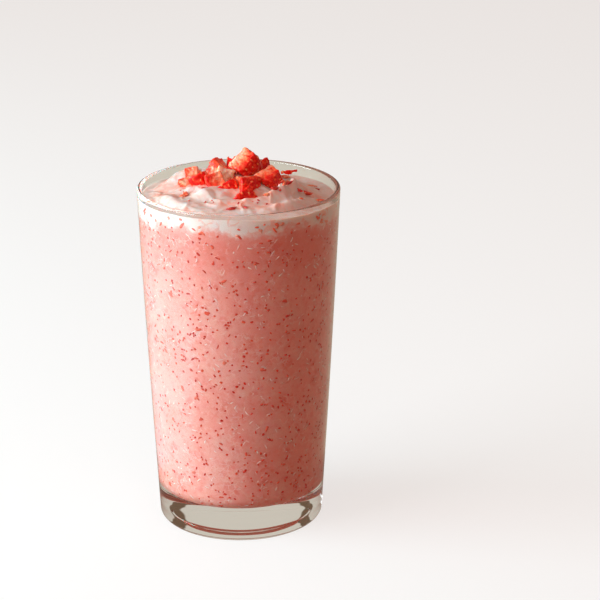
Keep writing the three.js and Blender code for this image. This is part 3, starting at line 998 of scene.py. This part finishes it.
def make_shreds():
    """Shreds and crumbs of strawberry that lie on the cream."""
    draw = random.Random(SHRED_DRAW)
    blobs = []
    for (x, y), half, turn, bend, lift in SHREDS:
        z = float(cream_surface(x, y)[0]) + lift
        spin = math.radians(turn)
        along = Vector((math.cos(spin), math.sin(spin), draw.uniform(-SHRED_TILT, SHRED_TILT)))
        across = Vector((-math.sin(spin), math.cos(spin), 0))
        axes = [along * half[0], across * half[1], along.cross(across) * half[2]]
        blobs.append(((x, y, z), axes, bend, draw.random()))
    for (x, y), (wide, deep), count, (small, large) in CRUMB_PATCHES:
        for _ in range(count):
            px = x + draw.gauss(0, CRUMB_SPREAD) * wide
            py = y + draw.gauss(0, CRUMB_SPREAD) * deep
            size = draw.uniform(small, large)
            z = float(cream_surface(px, py)[0]) + CRUMB_LIFT * size
            spin = draw.uniform(0, math.pi)
            tilt = draw.uniform(-CRUMB_TILT, CRUMB_TILT)
            along = Vector((math.cos(spin), math.sin(spin), tilt)).normalized()
            across = along.cross(Vector((0, 0, 1))).normalized()
            axes = [along * size * draw.uniform(*CRUMB_LENGTH), across * size * CRUMB_WIDTH,
                    along.cross(across) * size * CRUMB_DEPTH]
            blobs.append(((px, py, z), axes, 0.0, draw.random()))
    add_blobs("strawberry_shreds", blobs, shred_material(),
              subdivisions=3, wobble=0.3)


def shred_material():
    """Thin bits of strawberry, from deep red to pale orange."""
    material, tree = new_tree("strawberry_shred")
    mottle = grade(tree, clouds(tree, 0.9, 2.0), 0.3, 0.7, -0.3, 0.3)
    shade = maths(tree, "ADD", stored(tree, "tone"), mottle)
    shader = put(tree, "ShaderNodeBsdfPrincipled", {
        "Base Color": ramp(tree, shade, SHRED_COLOURS),
        "Roughness": 0.3, "Specular IOR Level": 0.4, "Coat Weight": 0.2,
        "Subsurface Weight": 0.35, "Subsurface Radius": (1.0, 0.25, 0.12),
        "Subsurface Scale": 0.8 * MM,
    })
    finish_material(tree, shader.outputs[0])
    return material


# Stage, lights and camera. The lengths of the stage and the lights are metres.

STAGE_RADIUS = 6.0
STAGE_SIDES = 64
STAGE_LEVEL = -0.0002
STAGE_PAINT = (0.33, 0.33, 0.33, 1)

FLOOR_SEEN = (0.66, 0.66, 0.65)
FLOOR_THROUGH_GLASS = (0.62, 0.58, 0.49)
FLOOR_BOUNCE = (0.35, 0.165, 0.12)
AIR_SEEN = (0.95, 0.95, 0.95)
AIR_THROUGH_GLASS = (0.62, 0.58, 0.50)
AIR_MIRRORED = (0.26, 0.22, 0.18)
AIR_BOUNCE = (0.37, 0.195, 0.145)
DARK_PANEL = (0.13, 0.085, 0.05)
DARK_FLOOR = (0.17, 0.12, 0.09)

# The dark things that the glass shows, each as its middle and half its width in degrees round the
# glass from the camera's side, over +X, and the lowest and highest elevation
DARK_PANELS = [(139, 9, 10, 60), (-135, 7, 10, 60), (148, 20, -5, 7), (-148, 20, -5, 7)]
DARK_FLOOR_STRIPS = [(148, 20), (-148, 20)]
# Soft edges of the panels: the share of half the width that is full, and the sine at top and foot
PANEL_CORE = 0.75
PANEL_BLUR = 0.02

# The painted reflection that glass mirrors of the floor round it, from behind over the left to the
# front and the right, as shares of a turn, before its strength. The floor glows with it only for
# mirrored rays.
FLOOR_MIRRORED = [
    (0.0, (0.19, 0.18, 0.15)), (0.10, (0.19, 0.18, 0.15)), (0.16, (0.30, 0.36, 0.40)),
    (0.26, (0.50, 0.60, 0.66)), (0.336, (0.70, 0.88, 0.98)), (0.374, (0.10, 0.08, 0.065)),
    (0.5, (0.07, 0.055, 0.04)), (0.75, (0.16, 0.12, 0.085)), (0.90, (0.27, 0.25, 0.19)),
    (1.0, (0.19, 0.18, 0.15)),
]
MIRRORED_STRENGTH = 2.1
# Nearer than this the mirrored floor turns dark
NEAR_FLOOR = (0.062, 0.085)
NEAR_MIRRORED = (0.12, 0.10, 0.08)

# Lamps: name, azimuth from the camera's side towards +X, elevation, size, power, colour, and
# whether glass shows them
LAMPS = [
    ("window", -72, 13, (0.9, 0.8), 21, (0.81, 0.91, 0.98), True),
    ("ceiling", -20, 66, (0.7, 0.7), 2.0, (1.0, 0.89, 0.84), True),
    ("sky", -92, 4, (0.8, 0.6), 11, (0.18, 0.88, 1.0), False),
]
LAMP_DISTANCE = 1.0
AIM_HEIGHT = 0.07


def glow(tree, kind, colour, strength=1.0):
    """An even light of a surface or the air."""
    value = colour if isinstance(colour, bpy.types.NodeSocket) else (*colour, 1)
    return put(tree, kind, {"Color": value, "Strength": strength}).outputs[0]


def by_ray(tree, camera, mirrored, bounced, through):
    """A shader for the camera, and others for mirrored, for bounced and for glass-borne light."""
    path = put(tree, "ShaderNodeLightPath").outputs
    shader = mix_shaders(tree, path["Is Diffuse Ray"], mirrored, bounced)
    shader = mix_shaders(tree, path["Is Transmission Ray"], shader, through)
    return mix_shaders(tree, path["Is Camera Ray"], shader, camera)


def turn_share(tree, vector):
    """A direction round the glass as a share of a turn: 0.5 at the camera, 0.75 to its right."""
    apart = put(tree, "ShaderNodeSeparateXYZ", {0: vector}).outputs
    turn = maths(tree, "ARCTAN2", apart["X"], maths(tree, "MULTIPLY", apart["Y"], -1.0))
    return maths(tree, "ADD", maths(tree, "DIVIDE", turn, 2 * math.pi), 0.5)


def panel(tree, around, middle, half):
    """1 within half a width of a direction in degrees, and 0 outside it."""
    off = maths(tree, "ABSOLUTE", maths(tree, "SUBTRACT", around, 0.5 + middle / 360))
    return grade(tree, off, half / 360, half * PANEL_CORE / 360)


def make_stage():
    """A wide pale floor, which for mirrored rays glows with a painted reflection, bright on the
    left and dark near the glass.
    """
    material, tree = new_tree("pale_floor")
    kind = "ShaderNodeEmission"
    lit = put(tree, "ShaderNodeBsdfDiffuse", {"Color": STAGE_PAINT}).outputs[0]
    shown = put(tree, "ShaderNodeAddShader", {0: lit, 1: glow(tree, kind, FLOOR_SEEN)}).outputs[0]
    place = object_place(tree)
    around = turn_share(tree, place)
    distance = put(tree, "ShaderNodeVectorMath", {0: place}, operation="LENGTH").outputs["Value"]
    near = grade(tree, distance, *NEAR_FLOOR)
    shine = blend(tree, near, NEAR_MIRRORED, ramp(tree, around, FLOOR_MIRRORED))
    dark = 0.0
    for middle, half in DARK_FLOOR_STRIPS:
        dark = maths(tree, "MAXIMUM", dark, panel(tree, around, middle, half))
    seen = blend(tree, dark, FLOOR_THROUGH_GLASS, DARK_FLOOR)
    finish_material(tree, by_ray(
        tree, shown, glow(tree, kind, shine, MIRRORED_STRENGTH),
        glow(tree, kind, FLOOR_BOUNCE), glow(tree, kind, seen)))
    mesh = bpy.data.meshes.new("floor")
    edit = bmesh.new()
    bmesh.ops.create_circle(edit, cap_ends=True, radius=STAGE_RADIUS, segments=STAGE_SIDES)
    edit.to_mesh(mesh)
    edit.free()
    mesh.materials.append(material)
    floor = bpy.data.objects.new("floor", mesh)
    floor.location.z = STAGE_LEVEL
    bpy.context.scene.collection.objects.link(floor)


def make_world():
    """The air: pale for the camera, otherwise a warm beige room with dark panels behind."""
    world = bpy.data.worlds.new("studio")
    bpy.context.scene.world = world
    world.use_nodes = True
    tree = world.node_tree
    tree.nodes.clear()
    kind = "ShaderNodeBackground"
    heading = put(tree, "ShaderNodeTexCoord").outputs["Generated"]
    around = turn_share(tree, heading)
    height = put(tree, "ShaderNodeSeparateXYZ", {0: heading}).outputs["Z"]
    dark = 0.0
    for middle, half, low, high in DARK_PANELS:
        bottom, top = math.sin(math.radians(low)), math.sin(math.radians(high))
        over = grade(tree, height, bottom - PANEL_BLUR, bottom + PANEL_BLUR)
        under = grade(tree, height, top + PANEL_BLUR, top - PANEL_BLUR)
        within = maths(tree, "MINIMUM", over, under)
        shade = maths(tree, "MULTIPLY", within, panel(tree, around, middle, half))
        dark = maths(tree, "MAXIMUM", dark, shade)
    seen = blend(tree, dark, AIR_THROUGH_GLASS, DARK_PANEL)
    shader = by_ray(tree, glow(tree, kind, AIR_SEEN), glow(tree, kind, AIR_MIRRORED),
                    glow(tree, kind, AIR_BOUNCE), glow(tree, kind, seen))
    put(tree, "ShaderNodeOutputWorld", {"Surface": shader})


def add_softbox(name, azimuth, elevation, size, power, colour, shown):
    """A rectangular lamp that faces the glass."""
    lamp = bpy.data.lights.new(name, "AREA")
    lamp.shape = "RECTANGLE"
    lamp.size, lamp.size_y = size
    lamp.energy = power
    lamp.color = colour
    holder = bpy.data.objects.new(name, lamp)
    around, up = math.radians(azimuth), math.radians(elevation)
    flat = LAMP_DISTANCE * math.cos(up)
    height = AIM_HEIGHT + LAMP_DISTANCE * math.sin(up)
    holder.location = (flat * math.sin(around), -flat * math.cos(around), height)
    towards = Vector((0, 0, AIM_HEIGHT)) - holder.location
    holder.rotation_euler = towards.to_track_quat("-Z", "Y").to_euler()
    holder.visible_glossy = holder.visible_transmission = shown
    bpy.context.scene.collection.objects.link(holder)


def make_camera():
    """The camera at the photograph's angle."""
    camera = bpy.data.cameras.new("camera")
    camera.lens = CAMERA_LENS
    camera.sensor_width = CAMERA_SENSOR
    holder = bpy.data.objects.new("camera", camera)
    holder.location = [v * MM for v in CAMERA_PLACE]
    holder.rotation_euler = (math.radians(90 - CAMERA_PITCH), 0, 0)
    bpy.context.scene.collection.objects.link(holder)
    bpy.context.scene.camera = holder
    bpy.context.scene.view_settings.view_transform = "Standard"


make_camera()
make_stage()
make_world()
for softbox in LAMPS:
    add_softbox(*softbox)
make_glass()
make_drink()
make_flecks()
make_cream()
make_shreds()
FLESH = strawberry_material()
CHUNKS = [make_strawberry(entry, number, FLESH) for number, entry in enumerate(PIECES)]
make_berry_seeds(CHUNKS)
